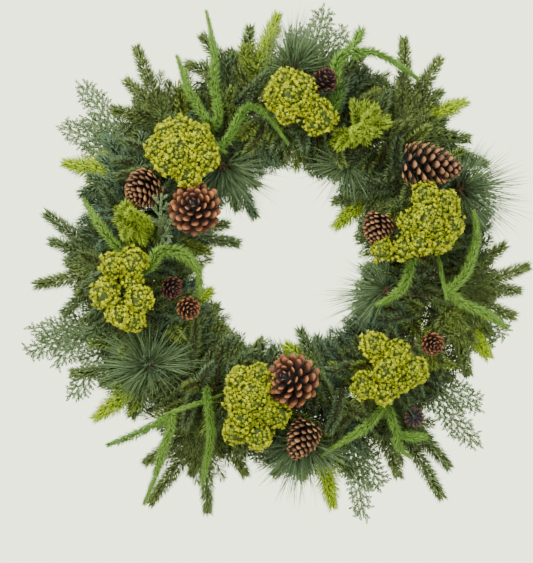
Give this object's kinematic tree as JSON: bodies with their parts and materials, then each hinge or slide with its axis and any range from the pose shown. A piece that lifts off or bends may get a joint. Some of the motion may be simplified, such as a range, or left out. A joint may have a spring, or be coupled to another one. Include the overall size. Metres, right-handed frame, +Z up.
{
  "type": "fresh evergreen wreath",
  "caption": "Ring of mixed evergreen sprays with pine cones, yellow-green flower heads and foxtail tails, bound to a wire frame and hung by a wire loop.",
  "frame": {"origin": "the point where the hanging loop bears on its hook, at the top of the back of the wreath", "axes": "+Z up as it hangs, +X to the right seen from the front, -Y out of the front and +Y towards the wall"},
  "size_m": [0.6, 0.1208, 0.6076],
  "materials": {
    "ring_wire": "dark green enamelled steel wire, slightly dull",
    "binding_wire": "thin green florist wire",
    "fir_needles": "waxy olive-green needles with bluish undersides on brown twigs",
    "lime_needles": "bright yellow-green young fir growth",
    "pine_needles": "long blue-green needles, slightly glossy",
    "cedar_scales": "grey-green scale leaves, matt",
    "foxtail_leaf": "soft fresh green plume, matt",
    "flower_clusters": "matt yellow-green star flowers on pale green rays",
    "cone_scales": "dry woody scales, dark brown with tan tips"
  },
  "bodies": {
    "root": {"ring_frame": "ring_wire", "hanging_loop": "ring_wire", "binding_wire": "binding_wire", "fir_spray_01": "fir_needles", "fir_spray_02": "fir_needles", "fir_spray_03": "fir_needles", "fir_spray_04": "fir_needles", "fir_spray_05": "fir_needles", "fir_spray_06": "fir_needles", "fir_spray_07": "fir_needles", "fir_spray_08": "fir_needles", "fir_spray_09": "fir_needles", "fir_spray_10": "fir_needles", "fir_spray_11": "fir_needles", "inner_fir_01": "fir_needles", "inner_fir_02": "fir_needles", "inner_fir_03": "fir_needles", "inner_fir_04": "fir_needles", "inner_fir_05": "fir_needles", "inner_fir_06": "fir_needles", "cedar_frond_01": "cedar_scales", "cedar_frond_02": "cedar_scales", "cedar_frond_03": "cedar_scales", "cedar_frond_04": "cedar_scales", "cedar_frond_05": "cedar_scales", "cedar_frond_06": "cedar_scales", "cedar_frond_07": "cedar_scales", "pine_tuft_01": "pine_needles", "pine_tuft_02": "pine_needles", "pine_tuft_03": "pine_needles", "pine_tuft_04": "pine_needles", "pine_tuft_05": "pine_needles", "pine_tuft_06": "pine_needles", "pine_tuft_07": "pine_needles", "lime_tip_01": "lime_needles", "lime_tip_02": "lime_needles", "foxtail_01": "foxtail_leaf", "foxtail_02": "foxtail_leaf", "foxtail_03": "foxtail_leaf", "foxtail_04": "foxtail_leaf", "foxtail_05": "foxtail_leaf", "foxtail_06": "foxtail_leaf", "foxtail_07": "foxtail_leaf", "flower_head_01": "flower_clusters", "flower_head_02": "flower_clusters", "flower_head_03": "flower_clusters", "flower_head_04": "flower_clusters", "flower_head_05": "flower_clusters", "flower_head_06": "flower_clusters", "pine_cone_01": "cone_scales", "pine_cone_02": "cone_scales", "pine_cone_03": "cone_scales", "pine_cone_04": "cone_scales", "pine_cone_05": "cone_scales", "pine_cone_06": "cone_scales", "pine_cone_07": "cone_scales", "pine_cone_08": "cone_scales", "pine_cone_09": "cone_scales", "pine_cone_10": "cone_scales", "pine_cone_11": "cone_scales"}
  },
  "joints": []
}
